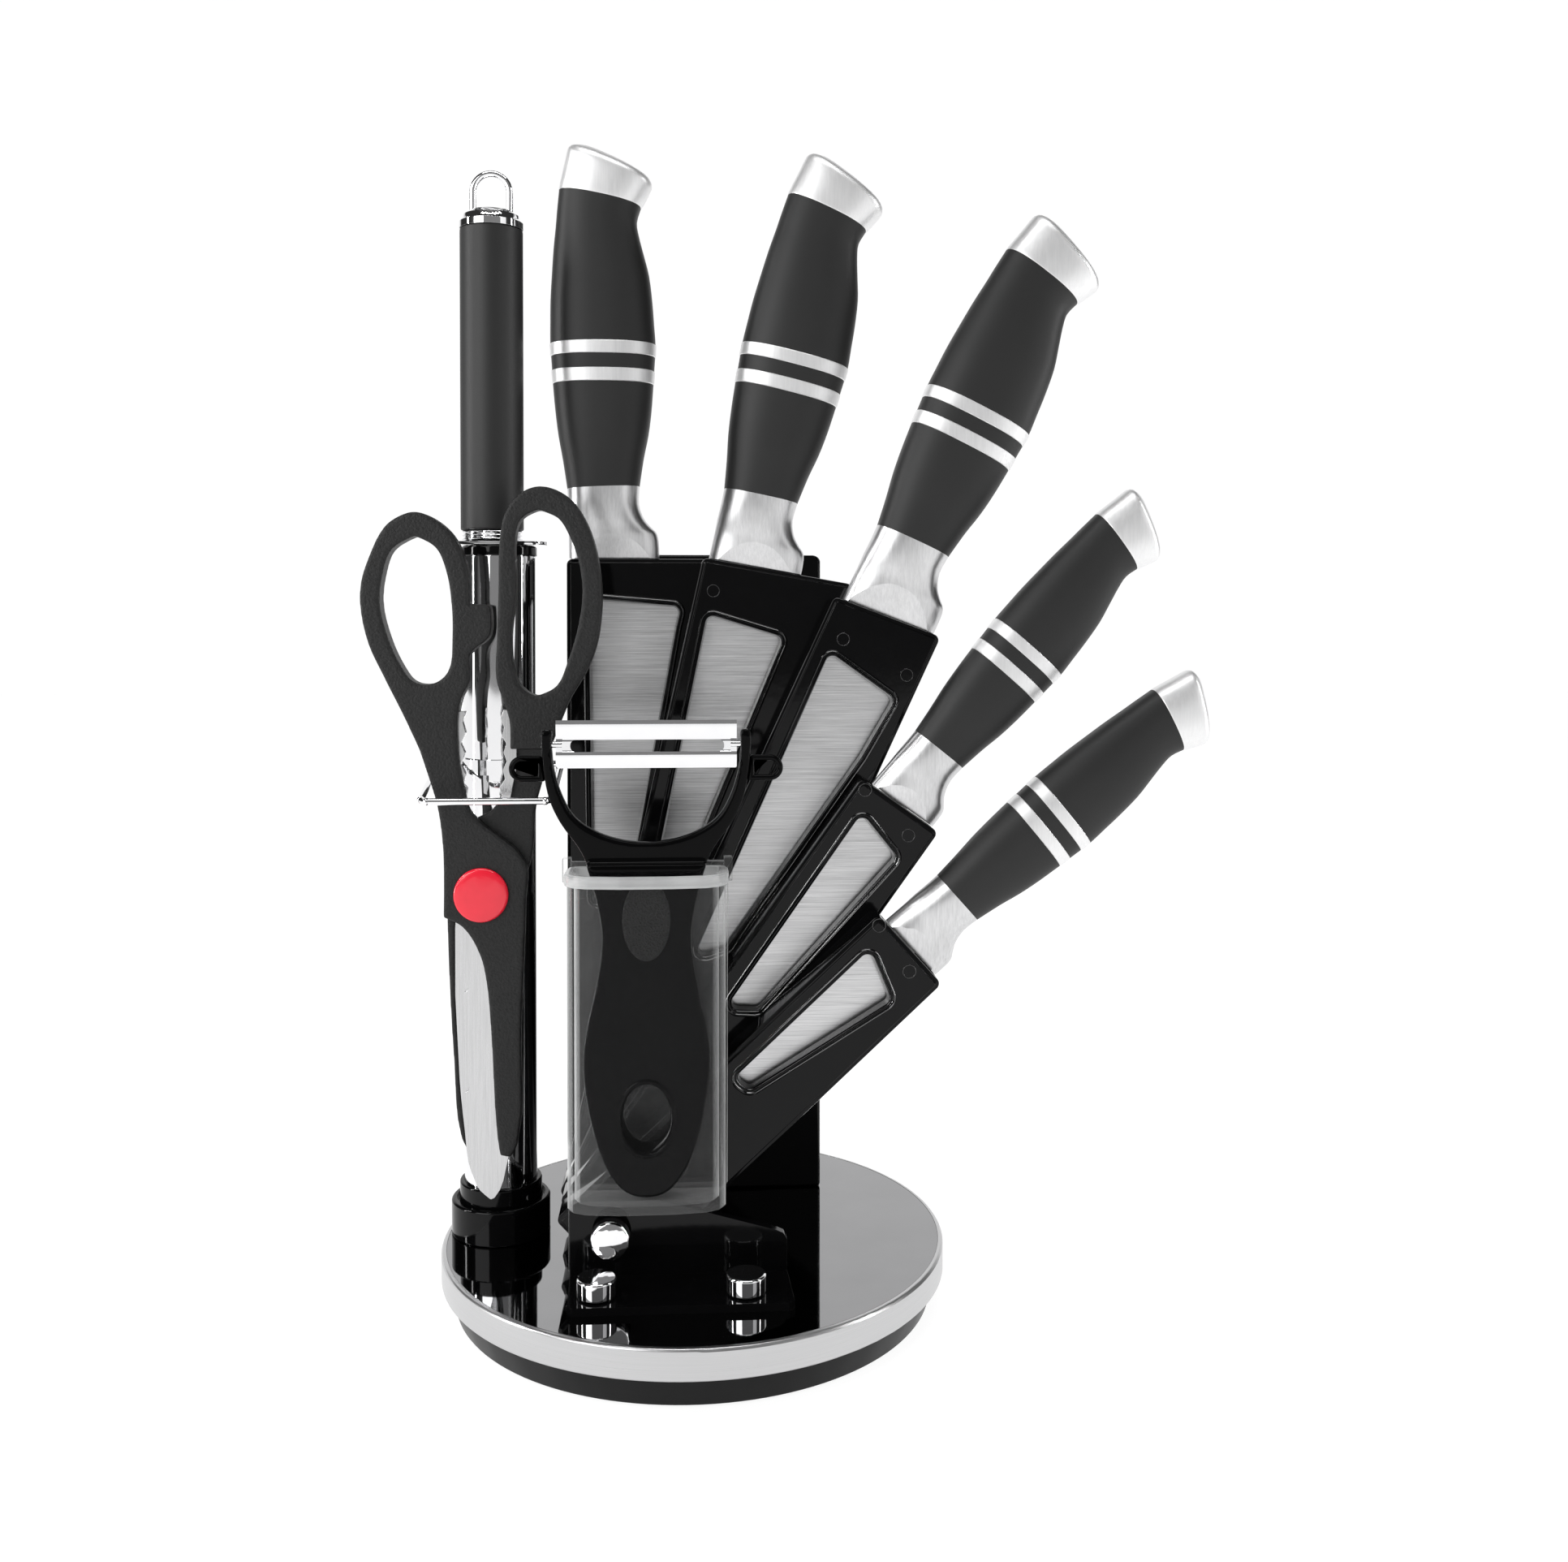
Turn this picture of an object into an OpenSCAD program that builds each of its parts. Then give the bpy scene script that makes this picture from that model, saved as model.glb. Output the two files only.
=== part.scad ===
// Revolving knife stand: a turntable base, a column with a fan of five
// sheathed knives, a clear pocket with a peeler, a tube with a
// sharpening steel and a wire loop with kitchen scissors.

/* [Overall] */
// which node to draw
// diameter of the round base
base_d = 170; // [164:1:210]
// height of the turntable's top face above the table
disc_top = 20; // [18:0.5:26]
// height of the upright sheath's mouth above the table
stand_h = 251; // [236:1:305]

/* [Fan of sheaths] */
// depth of one sheath, front to back
sheath_t = 14; // [13.8:0.1:17]
// thickness of a sheath's front and back walls
sheath_wall = 3.6; // [2:0.1:4.4]
// rim left round the cavity at the sheath's sides
sheath_rim = 2.2; // [1.4:0.1:2.6]
// depth of the column behind the fan
column_t = 12; // [6:0.5:16]

/* [Knives] */
// thickness of the blades
blade_t = 2; // [1.2:0.1:2.6]
// thickness of the large handles at their widest
handle_t = 23; // [18:0.5:24]
// radius of the round tang inside the handles
tang_r = 3; // [2:0.1:3.6]

/* [Pocket and peeler] */
// wall of the clear pocket
pocket_wall = 2; // [1.4:0.1:2.4]
// outside depth of the clear pocket
pocket_d = 23; // [21:0.5:28]
// thickness of the peeler's handle
peeler_t = 10; // [7:0.5:12]

/* [Tube and steel] */
// outside diameter of the tube
tube_d = 24.6; // [22:0.2:29]
// diameter of the sharpening rod
rod_d = 9; // [6:0.5:10.5]
// diameter of the steel's handle
steel_d = 21.2; // [18:0.2:26]

/* [Scissors and wire] */
// diameter of the wire of the scissors' loop
wire_d = 2.3; // [1.4:0.1:2.8]
// thickness of the closed scissors
scissors_t = 8; // [6:0.2:9.4]

/* [Hidden] */
$fn = 64;

disc_r = base_d / 2;
plate_h = 9.8;               // height of the turning plate
plate_z = disc_top - plate_h;
run_gap = 0.3;               // gap between base and turntable
spindle_r = 5;
bore_gap = 0.05;

fan_back = 34;               // back face of the upright sheath
fan_p = [-44.5, disc_top + 18];
fan_l = stand_h - disc_top;
// per sheath: lean, length of the left edge as a share of the first, width, rise of the top's right end
lean = [0, 12.57, 24.77, 35.7, 47.1];
reach = [1, 0.9446, 0.9506, 0.741, 0.6134];
wid = [50, 53.4, 39, 31.5, 30.7];
foot = [1, 8, 3, 0, 0];      // length past the point where the left edges meet
rise = [0, 2.4, 2.8, 0.2, -0.4];
// per knife: lean of the handle, its offset from the mouth's left end, length and width shares
hlean = [0, 13.8, 26.7, 41.3, 50.8];
hoff = [[12.7, 0], [14.7, 0.3], [16.3, 3.6], [14.1, 0.2], [13.4, -0.6]];
hlen = [1, 0.991, 0.986, 0.896, 0.881];
hwid = [1, 1.02, 1.04, 0.776, 0.745];
hthk = [1, 1, 1, 0.8, 0.78];
win_r = 2.4;                 // corner radius of the windows
// window of each sheath and outline of each blade, in the sheath's own frame (across, up from the mouth)
win = [
    [[8, -14.3], [40.3, -17], [38.6, -24], [21, -121], [9, -123]],
    [[6, -18.9], [33.4, -21], [28, -51.5], [18, -108], [8, -128]],
    [[6.6, -18], [33.4, -23.2], [31.1, -46], [16.6, -124], [8, -132]],
    [[6.8, -9.5], [24.8, -14.6], [16.8, -82], [7.6, -88]],
    [[6.2, -9.6], [22.9, -15.9], [12.4, -68.4], [6.4, -69.5]]];
edge = [
    [[3.4, 0], [42, -2], [41.4, -60], [37, -110], [28, -150], [16, -178], [3.4, -196]],
    [[4, 0], [37, -2], [36, -90], [32, -130], [22, -165], [4, -190]],
    [[4, 0], [35.5, -1], [34.8, -110], [30, -140], [18, -165], [5, -172]],
    [[4, 0], [27.4, -1], [26, -70], [20, -100], [10, -118], [4, -122]],
    [[3.6, 0], [26, -1], [24, -45], [18, -72], [8, -88], [3.6, -92]]];

function mouth(i) = i == 0 ? [-45, stand_h]
    : [fan_p[0] + reach[i] * fan_l * sin(lean[i]), fan_p[1] + reach[i] * fan_l * cos(lean[i])];
function front(i) = fan_back - (i + 1) * sheath_t;
fan_front = front(4);
function hmid(i) = mouth(i) + [hoff[i][0] * cos(lean[i]) + hoff[i][1] * sin(lean[i]),
    -hoff[i][0] * sin(lean[i]) + hoff[i][1] * cos(lean[i])];

tube_x = -(disc_r - 18.6);
tube_y = 4;
tube_r = tube_d / 2;
cup_r = tube_r + 4.4;

// a closed outline with a smooth curve through its points, which keeps corners sharper than 50 degrees
function unit(v) = norm(v) == 0 ? v : v / norm(v);
function way(p, k) = let (n = len(p), a = unit(p[k] - p[(k + n - 1) % n]), b = unit(p[(k + 1) % n] - p[k]))
    a * b < cos(50) ? [0, 0] : unit(a + b);
function soft(p, n = 4) = [for (k = [0:len(p) - 1]) let (a = p[k], b = p[(k + 1) % len(p)], d = norm(b - a),
    u = way(p, k) * d, v = way(p, (k + 1) % len(p)) * d) for (j = [0:n - 1]) let (t = j / n)
    (2 * t * t * t - 3 * t * t + 1) * a + (t * t * t - 2 * t * t + t) * u + (3 * t * t - 2 * t * t * t) * b + (t * t * t - t * t) * v];

// an outline in the X-Z plane, from y0 back to y0 + t
module slab(y0, t) translate([0, y0 + t, 0]) rotate([90, 0, 0]) linear_extrude(t) children();
module at_sheath(i) translate([mouth(i)[0], 0, mouth(i)[1]]) rotate([0, lean[i], 0]) children();
module at_handle(i) translate([hmid(i)[0], front(i) + sheath_t / 2, hmid(i)[1]]) rotate([0, hlean[i], 0]) children();

/* base */
module rubber_pad() color([0.05, 0.05, 0.05]) cylinder(r = disc_r - 11, h = 1, $fn = 128);

module base_shell() color([0.04, 0.04, 0.045])
    rotate_extrude($fn = 128) polygon([
        [0, 1], [disc_r - 5, 1], [disc_r - 2, plate_z - run_gap], [disc_r - 4.6, plate_z - run_gap],
        [disc_r - 7.4, 3.4], [14, 3.4], [14, plate_z - 0.8], [spindle_r + bore_gap, plate_z - 0.8],
        [spindle_r + bore_gap, 2.2], [0, 2.2]]);

module glide_ring() color([0.85, 0.85, 0.83])
    rotate_extrude($fn = 96) translate([58, 3.4]) square([4, plate_z - run_gap - 3.4]);

/* turntable */
module turntable_plate() color([0.03, 0.03, 0.035])
    rotate_extrude($fn = 128) polygon([
        [0, disc_top], [disc_r - 1.6, disc_top], [disc_r - 1.6, plate_z + 0.4], [disc_r - 6, plate_z + 0.4],
        [disc_r - 6, disc_top - 3], [66, disc_top - 3], [66, plate_z], [54, plate_z], [54, disc_top - 3],
        [12, disc_top - 3], [12, plate_z], [spindle_r, plate_z], [spindle_r, disc_top - 3], [0, disc_top - 3]]);

module rim_band() color([0.8, 0.8, 0.82])
    rotate_extrude($fn = 128) polygon([
        [disc_r - 1.6, plate_z + 0.2], [disc_r - 0.4, plate_z + 0.2], [disc_r, plate_z + 0.6],
        [disc_r, disc_top - 1], [disc_r - 0.5, disc_top - 0.3], [disc_r - 0.9, disc_top], [disc_r - 1.6, disc_top]]);

module spindle() color([0.6, 0.6, 0.62]) translate([0, 0, 2.5]) cylinder(r = spindle_r, h = disc_top - 5.5);

module column() color([0.03, 0.03, 0.035])
    slab(fan_back, column_t) polygon([[-43, disc_top], [46.3, disc_top], [46.3, stand_h + 0.4], [44.7, stand_h + 2],
        [-41.4, stand_h + 2], [-43, stand_h + 0.4]]);

module sheath(i) color([0.03, 0.03, 0.035]) intersection() {
    at_sheath(i) difference() {
        slab(front(i), sheath_t) polygon([[0, 0], [wid[i] - 1.2, rise[i]], [wid[i], rise[i] - 1.2], [wid[i], -reach[i] * fan_l - foot[i]], [0, -reach[i] * fan_l - foot[i]]]);
        // cavity, open at the mouth
        slab(front(i) + sheath_wall, sheath_t - 2 * sheath_wall) polygon([[sheath_rim, 6], [wid[i] - sheath_rim, 6],
            [wid[i] - sheath_rim, edge[i][len(edge[i]) - 2][1] - 10], [sheath_rim + 6, edge[i][len(edge[i]) - 1][1] - 4], [sheath_rim, edge[i][len(edge[i]) - 1][1] - 4]]);
        slab(front(i) - 1, sheath_wall + 2) offset(r = win_r) offset(delta = -win_r) polygon(win[i]);
    }
    translate([-150, front(i) - 2, disc_top]) cube([400, sheath_t + 4, 400]);
}
module sheath_1() sheath(0);
module sheath_2() sheath(1);
module sheath_3() sheath(2);
module sheath_4() sheath(3);
module sheath_5() difference() {
    sheath(4);
    knob_hole();
}

/* front bracket, screws and pocket */
plate_b = 2;                 // back plate of the pocket
bracket_t = 3;
knob_p = [-26.3, disc_top + 15.8];
screw_x = [-30, 15.8];
screw_y = fan_front - 19;
flange_y = fan_front - 27;
bracket_y = fan_front - plate_b - bracket_t;
module knob_hole() translate([knob_p[0], fan_front + 8, knob_p[1]]) rotate([90, 0, 0]) cylinder(r = 2, h = 8 + plate_b + bracket_t + 1);

module front_bracket() color([0.03, 0.03, 0.035]) difference() {
    union() {
        slab(bracket_y, bracket_t) polygon([[-39.3, disc_top], [29.3, disc_top], [29.3, disc_top + 12.6], [28.2, disc_top + 14.6],
            [26, disc_top + 15.6], [-11.5, disc_top + 26.1], [-36.4, disc_top + 26.1], [-38.5, disc_top + 25], [-39.3, disc_top + 23]]);
        translate([0, 0, disc_top]) linear_extrude(2.5) polygon([[-39.3, bracket_y + 1], [-38.6, flange_y + 1.5], [-37.2, flange_y],
            [28.6, flange_y], [30.4, flange_y + 1.8], [29.3, bracket_y + 1]]);
    }
    knob_hole();
    for (x = screw_x) translate([x, screw_y, disc_top - 1]) cylinder(r = 2, h = 5);
}

module flange_screws() color([0.85, 0.85, 0.87]) for (x = screw_x) translate([x, screw_y, 0]) {
    translate([0, 0, disc_top + 2.5]) rotate_extrude() polygon([[0, 0], [5.2, 0], [6.2, 0.6], [6.2, 5.5], [5.7, 6], [0, 6]]);
    translate([0, 0, disc_top]) cylinder(r = 2, h = 2.6);
}

module pocket_knob() color([0.85, 0.85, 0.87]) translate([knob_p[0], bracket_y, knob_p[1]]) rotate([90, 0, 0]) {
    rotate_extrude() polygon([[0, 0], [3.6, 0], [3.6, 2], [6.2, 2.6], [6.2, 6], [5.6, 6.8], [3.6, 7.4], [0, 7.7]]);
    translate([0, 0, -bracket_t - plate_b - 7.8]) cylinder(r = 2, h = bracket_t + plate_b + 8);
}

pocket_x = [-39, 9.6];
pocket_z = [disc_top + 28.5, disc_top + 131.5];
module pocket_outline(grow) {
    f = fan_front - pocket_d - grow;
    b = fan_front - plate_b;
    x0 = pocket_x[0] - grow;
    x1 = pocket_x[1] + grow;
    polygon([[x0, b], [x0, f + 7], [x0 + 2, f + 3.2], [x0 + 6, f + 1.2], [(x0 + x1) / 2 - 8, f], [(x0 + x1) / 2 + 8, f],
        [x1 - 6, f + 1.2], [x1 - 2, f + 3.2], [x1, f + 7], [x1, b]]);
}
module pocket() color([0.9, 0.93, 0.95, 0.25]) difference() {
    union() {
        slab(fan_front - plate_b, plate_b) polygon([[-40, disc_top + 2.6], [-14, disc_top + 2.6], [10.5, disc_top + 30],
            [10.5, disc_top + 133], [-40, disc_top + 133]]);
        translate([0, 0, pocket_z[0]]) linear_extrude(pocket_z[1] - pocket_z[0]) pocket_outline(0);
        translate([0, 0, pocket_z[1] - 3]) linear_extrude(3) pocket_outline(0.9);
        for (x = [-41.4, 9.4]) translate([x, fan_front - 5, disc_top + 127]) cube([2.6, 5, 7.4]);
    }
    translate([0, 0, pocket_z[0] + pocket_wall]) linear_extrude(200) intersection() {
        pocket_outline(-pocket_wall);
        translate([-100, fan_front - pocket_d - 5]) square([200, pocket_d + 5 - plate_b]);
    }
    knob_hole();
}

/* tube and wire loop */
module tube_cup() color([0.03, 0.03, 0.035]) translate([tube_x, tube_y, disc_top]) rotate_extrude() polygon([
    [0, 0], [cup_r - 0.4, 0], [cup_r, 0.4], [cup_r, 11.4], [cup_r - 0.6, 12], [cup_r - 1.8, 12], [cup_r - 1.8, 10.6],
    [tube_r + 1.6, 10.6], [tube_r + 1.6, 17.6], [tube_r + 1.2, 18], [tube_r, 18], [tube_r, 4], [0, 4]]);

module tube() color([0.85, 0.85, 0.87]) translate([tube_x, tube_y, disc_top + 4]) difference() {
    cylinder(r = tube_r, h = stand_h - disc_top - 4);
    translate([0, 0, -1]) cylinder(r = tube_r - 1, h = stand_h);
}

module tube_collar() color([0.03, 0.03, 0.035]) translate([tube_x, tube_y, stand_h]) rotate_extrude() polygon([
    [tube_r - 1, -6], [tube_r - 1, 0], [tube_r + 0.4, 0], [tube_r + 0.4, 3], [tube_r - 0.2, 3.6], [tube_r - 3, 3.6], [tube_r - 3, -6]]);

module bar(p, q, r) translate(p) rotate([0, acos((q[2] - p[2]) / norm(q - p)), atan2(q[1] - p[1], q[0] - p[0])]) cylinder(r = r, h = norm(q - p), $fn = 32);

wire_r = wire_d / 2;
loop_z = disc_top + 151.5;
module wire_loop() color([0.85, 0.85, 0.87]) {
    difference() {
        union() {
            translate([tube_x, tube_y, loop_z + 6]) cylinder(r = tube_r + 1.4, h = 5);
            for (s = [-1, 1]) bar([tube_x + s * 20.8, tube_y, loop_z + 8.5], [tube_x + s * tube_r, tube_y, loop_z + 8.5], wire_r);
        }
        translate([tube_x, tube_y, loop_z]) cylinder(r = tube_r, h = 20);
    }
    for (s = [-1, 1]) {
        bar([tube_x + s * 20.8, tube_y, loop_z + 8.5], [tube_x + s * 20.8, -29, loop_z + 0.4], wire_r);
        bar([tube_x + s * 20.8, -29, loop_z + 0.4], [tube_x + s * 18.8, -31, loop_z], wire_r);
        translate([tube_x + s * 20.8, tube_y, loop_z + 8.5]) sphere(r = wire_r + 0.15, $fn = 32);
        translate([tube_x + s * 20.8, -29, loop_z + 0.4]) sphere(r = wire_r + 0.15, $fn = 32);
        translate([tube_x + s * 18.8, -31, loop_z]) sphere(r = wire_r + 0.15, $fn = 32);
    }
    bar([tube_x - 18.8, -31, loop_z], [tube_x + 18.8, -31, loop_z], wire_r);
}

/* knives */
// a handle section: height and offset of its left and right end, half thickness
ring_n = 20;
function bow(c) = sign(c) * pow(abs(c), 0.8);
function ring(s, i) = [for (k = [0:ring_n - 1]) let (f = (1 + bow(cos(360 * k / ring_n))) / 2)
    [hwid[i] * (s[1] + (s[3] - s[1]) * f), hthk[i] * handle_t / 24 * s[4] * bow(sin(360 * k / ring_n)), hlen[i] * (s[0] + (s[2] - s[0]) * f)]];
module loft(secs, i) polyhedron(
    points = [for (s = secs) each ring(s, i)],
    faces = concat([[for (k = [0:ring_n - 1]) k]],
        [for (j = [0:len(secs) - 2]) for (k = [0:ring_n - 1]) each [
            [j * ring_n + k, (j + 1) * ring_n + k, (j + 1) * ring_n + (k + 1) % ring_n],
            [j * ring_n + k, (j + 1) * ring_n + (k + 1) % ring_n, j * ring_n + (k + 1) % ring_n]]],
        [[for (k = [0:ring_n - 1]) (len(secs)) * ring_n - 1 - k]]));
bolster_s = [[-4, -12.2, -4, 20, 6.8], [9, -12.4, 9, 19.6, 6.9], [11.5, -12.5, 11.5, 17, 7.8], [14.6, -12.6, 14.6, 14.5, 8.6],
    [19.7, -12.6, 19.7, 12.7, 9.4], [25, -12.8, 26, 12.9, 9.8]];
grip_a = [[25, -12.8, 26, 12.9, 9.8], [35, -14.3, 36, 14.4, 10.4], [44, -15.9, 44.4, 16.1, 11], [53, -17, 53, 17.2, 11.4], [62.3, -17.8, 62.3, 17.9, 11.7]];
band_a = [[62.3, -18, 62.3, 18.1, 11.9], [67, -18.3, 67, 18.4, 12]];
grip_b = [[67, -18.1, 67, 18.2, 11.8], [72, -18.4, 72, 18.5, 11.9]];
band_b = [[72, -18.7, 72, 18.7, 12.1], [76.5, -18.9, 76.5, 18.9, 12.1]];
grip_c = [[76.5, -18.7, 76.5, 18.7, 12], [84, -18.7, 84, 18.2, 12], [92, -18.6, 92, 17.6, 11.9], [101, -18.1, 101, 16.5, 11.5], [110, -17.5, 108.5, 14.6, 11],
    [118, -16.7, 115.5, 12.8, 10.5], [124, -16.2, 120.5, 12.1, 10.2], [131, -15.5, 125.4, 13.5, 10]];
cap_s = [[131, -15.5, 125.4, 13.5, 10], [137, -14.3, 129.4, 15.6, 10.3], [143.6, -12.9, 132.6, 17.4, 10.2], [146, -12.2, 134.8, 16.6, 9],
    [147.2, -9.6, 138, 13.2, 6.8], [147, -5.6, 141.2, 8.6, 3.6]];

module tang_rod(i, h) at_handle(i) translate([0, 0, -6]) cylinder(r = tang_r, h = h + 6, $fn = 32);
module blade(i) color([0.75, 0.75, 0.77]) {
    at_sheath(i) slab(front(i) + sheath_t / 2 - blade_t / 2, blade_t) polygon(edge[i]);
    neck(i);
    intersection() {
        tang_rod(i, 120 * hlen[i]);
        above_mouth(i, 0.2, 400);
    }
}
// the flat part of the blade that runs from the sheath into the bolster
module neck(i) at_sheath(i) slab(front(i) + sheath_t / 2 - blade_t / 2, blade_t)
    polygon([[hoff[i][0] - 5, -3], [hoff[i][0] + 5, -3], [hoff[i][0] + 5, 12], [hoff[i][0] - 5, 12]]);
// the space above a sheath's mouth, from z0 to z1 along the sheath
module above_mouth(i, z0, z1) at_sheath(i) slab(-120, 240) polygon([[-60, z0 - 60 * rise[i] / wid[i]], [wid[i] + 80, z0 + (wid[i] + 80) * rise[i] / wid[i]],
    [wid[i] + 80, z1], [-60, z1]]);
module bolster(i) color([0.8, 0.8, 0.82]) difference() {
    intersection() {
        at_handle(i) loft(bolster_s, i);
        above_mouth(i, 0.2, 60);
    }
    tang_rod(i, 60);
    neck(i);
}
module grip(i) color([0.05, 0.05, 0.05]) difference() {
    at_handle(i) {
        loft(grip_a, i);
        loft(grip_b, i);
        loft(grip_c, i);
    }
    tang_rod(i, 120 * hlen[i]);
}
module bands(i) color([0.8, 0.8, 0.82]) difference() {
    at_handle(i) {
        loft(band_a, i);
        loft(band_b, i);
    }
    tang_rod(i, 120 * hlen[i]);
}
module cap(i) color([0.8, 0.8, 0.82]) at_handle(i) loft(cap_s, i);

/* scissors */
sc_x = tube_x + 66.4;        // the scissors follow the tube
sc_f = -17 - scissors_t / 2; // front face
sc_m = -17;                  // where the halves meet
sc_b = -17 + scissors_t / 2;
steel_t = 1.35;
half_gap = 0.05;
pivot = [-69.4 + sc_x, disc_top + 119.7];
rivet_r = 2.5;
module sc(y0, t) translate([sc_x, 0, disc_top]) slab(y0, t) children();
module rivet_hole(r) translate([pivot[0], sc_b + 1, pivot[1]]) rotate([90, 0, 0]) cylinder(r = r, h = scissors_t + 2);
front_steel = soft([[-75.4, 108], [-74.4, 41], [-71.4, 23], [-67, 18.6], [-65.6, 19.2], [-61.4, 31], [-60.4, 40], [-61, 128], [-75.6, 134]]);
rear_steel = soft([[-78.5, 108], [-77.6, 64], [-75.6, 41], [-73.4, 27], [-69, 21], [-66.6, 24], [-66, 40], [-64, 128], [-76, 136]]);
module scissors_front_handle() color([0.05, 0.05, 0.05]) difference() {
    union() {
        sc(sc_f, scissors_t) difference() {
            polygon(soft([[-89.3, 167.4], [-94.7, 179.2], [-100.1, 190.1], [-105.5, 201.9], [-108, 214.4], [-107.6, 222], [-105.5, 228.8],
                [-100.1, 239.6], [-95.6, 243], [-90.5, 244.5], [-84.7, 242.6], [-78.5, 237.2], [-74.6, 229.4], [-73.1, 222], [-73.1, 214.7], [-66.4, 214.3],
                [-66.4, 204.3], [-72.9, 198], [-72.9, 189.4], [-75.4, 184.6], [-76.9, 178.3], [-76.8, 167.4]]));
            polygon(soft([[-90.5, 236.6], [-97.8, 232.3], [-100.8, 224], [-101.7, 215.1], [-99, 203.4], [-94.7, 194], [-90.9, 189.3], [-84.7, 188.7],
                [-80, 192.4], [-78.5, 203.4], [-78.7, 214.3], [-80.4, 225.3], [-83.9, 233.1]]));
        }
        sc(sc_f, sc_m - sc_f - half_gap) polygon(soft([[-89.3, 167.4], [-76.8, 167.4], [-76.6, 164.2], [-74.6, 153.2], [-72.8, 146.9], [-55, 129.9],
            [-55, 118.3], [-56.7, 75.5], [-58.1, 37.2], [-60.2, 33.2], [-63.6, 33.9], [-64.6, 40.8], [-66.5, 75.6], [-68, 91.8],
            [-70, 100], [-75.7, 109.3], [-81.7, 112.3], [-81.7, 133.7], [-83.5, 148.6], [-85.5, 155.7]]));
    }
    sc(sc_m - half_gap - steel_t, steel_t + 1) polygon(front_steel);
    rivet_hole(rivet_r);
}
module scissors_front_blade() color([0.78, 0.78, 0.8]) difference() {
    sc(sc_m - half_gap - steel_t, steel_t) polygon(front_steel);
    rivet_hole(rivet_r);
    for (z = [89, 56]) translate([-75.6 + sc_x, sc_b, z + disc_top]) rotate([90, 0, 0]) cylinder(r = 1.8, h = 20);
}
module scissors_rear_handle() color([0.05, 0.05, 0.05]) difference() {
    union() {
        sc(sc_f, scissors_t) difference() {
            polygon(soft([[-60, 167.2], [-60.2, 176.7], [-62.2, 183], [-64.4, 190], [-64.1, 203.4], [-63.6, 219.1], [-63, 237.1], [-61.4, 244.2],
                [-56.7, 250.5], [-50, 253], [-41.1, 249.7], [-35.7, 242.7], [-32.1, 233.2], [-30.2, 220.6], [-30.3, 211.2], [-32.1, 200.2],
                [-35.7, 191.5], [-40.4, 183.7], [-43.5, 176.6], [-47.2, 167.2]]));
            polygon(soft([[-50.5, 245.4], [-56, 242.6], [-57.9, 237.9], [-57.9, 219.1], [-59.6, 203.4], [-57.9, 190], [-54.6, 186], [-51.3, 184.5],
                [-45, 187.6], [-41.1, 196.2], [-38, 206.5], [-36.4, 217.5], [-37.2, 226.9], [-40.4, 236.4], [-44.3, 242.7]]));
        }
        sc(sc_m + half_gap, sc_b - sc_m - half_gap) polygon(soft([[-60, 167.2], [-61, 157.1], [-64, 149], [-78, 140], [-81.5, 132], [-81.1, 111.7],
            [-80.8, 99], [-79.1, 64.2], [-76.8, 38.8], [-74.5, 34.1], [-72.6, 36.4], [-72, 75.8], [-70, 110], [-57, 122], [-53.4, 132],
            [-52.1, 148.3], [-50, 156.2], [-47.2, 167.2]]));
    }
    sc(sc_m + half_gap - 1, steel_t + 1) polygon(rear_steel);
    rivet_hole(rivet_r + bore_gap);
}
module scissors_rear_blade() color([0.78, 0.78, 0.8]) difference() {
    sc(sc_m + half_gap, steel_t) polygon(rear_steel);
    rivet_hole(rivet_r + bore_gap);
}
module scissors_button() color([0.85, 0.05, 0.12]) translate([pivot[0], sc_f, pivot[1]]) rotate([90, 0, 0]) {
    rotate_extrude() polygon([[0, 0], [8.9, 0], [8.9, 0.9], [8.4, 1.5], [6.4, 1.9], [0, 2.2]]);
    translate([0, 0, -scissors_t]) cylinder(r = rivet_r, h = scissors_t + 1);
}

/* peeler */
peel_x = -14.7;
peel_y = fan_front - (pocket_d + 1) / 2;
peel_a = [0, disc_top + 171];        // axis of the swivelling blade
fork_t = 5;
arm = [[32.2, 175.7], [32.3, 172], [31.6, 163], [29.8, 154], [26.5, 147], [20.4, 138.4], [18.6, 134.4], [17.4, 130]];
inner = [[28.9, 175.7], [28.8, 166], [26.5, 156.7], [22.2, 148.8], [16.1, 144.4], [8.2, 141.6], [0, 140.7]];
body_h = [[18.6, 134.4], [16.8, 129], [14.6, 120], [13.6, 112], [14.2, 104], [16, 94], [18.2, 84], [19.3, 76], [19.2, 68], [17.8, 58], [15, 47], [11.5, 39], [7, 33.4], [3, 31.6]];
function flip(a) = [for (k = [len(a) - 1:-1:0]) [-a[k][0], a[k][1]]];
fork = soft(concat(arm, [[0, 128]], flip(arm), [for (k = [0:len(inner) - 1]) [-inner[k][0], inner[k][1]]],
    [for (k = [len(inner) - 2:-1:0]) inner[k]]));
module at_peeler() translate([peel_x, 0, disc_top]) children();
module peeler_body() color([0.03, 0.03, 0.035]) at_peeler() difference() {
    union() {
        slab(peel_y - fork_t / 2, fork_t) polygon(fork);
        slab(peel_y - peeler_t / 2, peeler_t) polygon(soft(concat(body_h, flip(body_h))));
    }
    translate([0, peel_y + 20, 56]) rotate([90, 0, 0]) linear_extrude(40) polygon([for (a = [0:10:350]) [7.6 * cos(a), 10.4 * sin(a)]]);
    for (s = [-1, 1]) translate([s * 32, peel_y, peel_a[1] - disc_top]) rotate([0, -s * 90, 0]) translate([0, 0, 1]) cylinder(r = 1.05, h = 6);
}
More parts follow.
